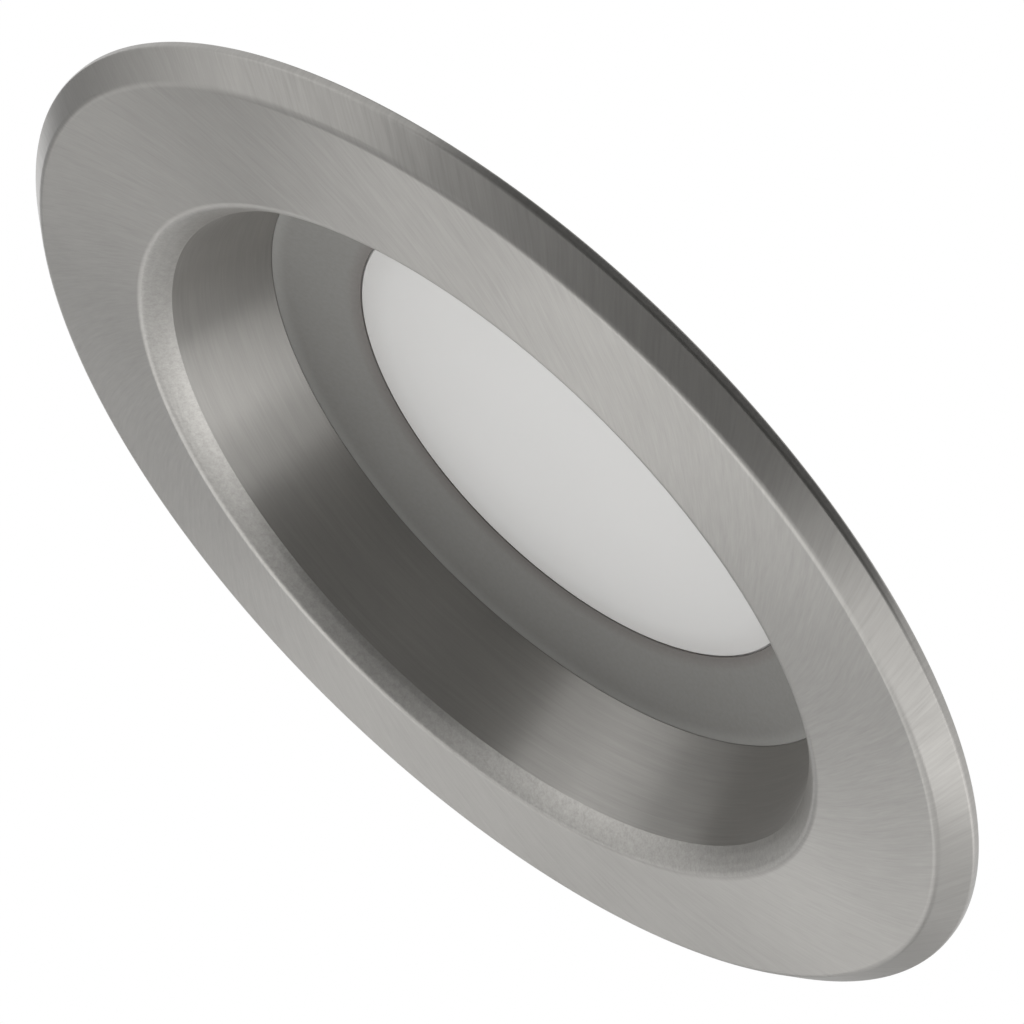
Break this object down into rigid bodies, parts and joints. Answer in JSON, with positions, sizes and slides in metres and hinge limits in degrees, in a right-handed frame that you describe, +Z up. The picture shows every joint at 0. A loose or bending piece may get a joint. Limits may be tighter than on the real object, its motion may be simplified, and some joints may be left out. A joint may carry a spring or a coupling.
{
  "type": "soffit downlight",
  "caption": "Round recessed soffit downlight: brushed nickel flange and tapered cone, matte ring, flat frosted lens, low finned heat sink and sprung folding clips.",
  "frame": {"origin": "centre of the soffit plane, at the back face of the flange", "axes": "+Z points up into the soffit, light leaves along -Z, the spring clips are at +X and -X"},
  "size_m": [0.134, 0.134, 0.033],
  "materials": {
    "nickel_trim": "brushed nickel, grainy chamfer",
    "gasket_foam": "closed-cell foam",
    "ring_grey": "matte grey",
    "lens_seal": "silicone",
    "lens_opal": "frosted opal",
    "seal_black": "silicone",
    "white_plastic": "moulded white",
    "board_white": "white solder mask on aluminium",
    "chip_yellow": "phosphor",
    "part_black": "moulded black",
    "part_blue": "lacquered",
    "part_tan": "ceramic",
    "part_ivory": "moulded ivory",
    "screw_zinc": "zinc plated",
    "pad_blue": "soft silicone",
    "sink_cast": "die-cast",
    "grommet_rubber": "moulded black",
    "clip_steel": "zinc plated sheet",
    "pin_steel": "plated",
    "spring_steel": "spring wire",
    "pad_rubber": "moulded black"
  },
  "bodies": {
    "housing": {"trim": "nickel_trim", "soffit_gasket": "gasket_foam", "lens_ring": "ring_grey", "lens_gasket": "lens_seal", "diffuser_lens": "lens_opal", "housing_seal": "seal_black", "reflector": "white_plastic", "led_board": "board_white", "led_chips": "chip_yellow", "rectifier": "part_black", "driver_chips": "part_black", "varistor": "part_blue", "fuse": "part_tan", "wire_terminal": "part_ivory", "board_screws": "screw_zinc", "thermal_pad": "pad_blue", "heat_sink": "sink_cast", "housing_screws": "screw_zinc", "cable_grommet": "grommet_rubber", "bracket_screws": "screw_zinc", "clip_bracket_right": "clip_steel", "pivot_pin_right": "pin_steel", "pin_clip_right": "spring_steel", "torsion_spring_right": "spring_steel", "clip_bracket_left": "clip_steel", "pivot_pin_left": "pin_steel", "pin_clip_left": "spring_steel", "torsion_spring_left": "spring_steel"},
    "right_clip": {"clip_arm_right": "clip_steel", "clip_pad_right": "pad_rubber"},
    "left_clip": {"clip_arm_left": "clip_steel", "clip_pad_left": "pad_rubber"}
  },
  "joints": [
    {"name": "right_clip_hinge", "type": "hinge", "parent": "housing", "child": "right_clip", "pos_m": [0.04924, 0, 0.0097], "axis": [0, -1, 0], "range_deg": [0, 100], "stiffness_Nm_per_rad": 0.048, "springref_deg": -57.3, "deforming": ["torsion_spring_right"]},
    {"name": "left_clip_hinge", "type": "hinge", "parent": "housing", "child": "left_clip", "pos_m": [-0.04924, 0, 0.0097], "axis": [0, 1, 0], "range_deg": [0, 100], "stiffness_Nm_per_rad": 0.048, "springref_deg": -57.3, "deforming": ["torsion_spring_left"]}
  ]
}
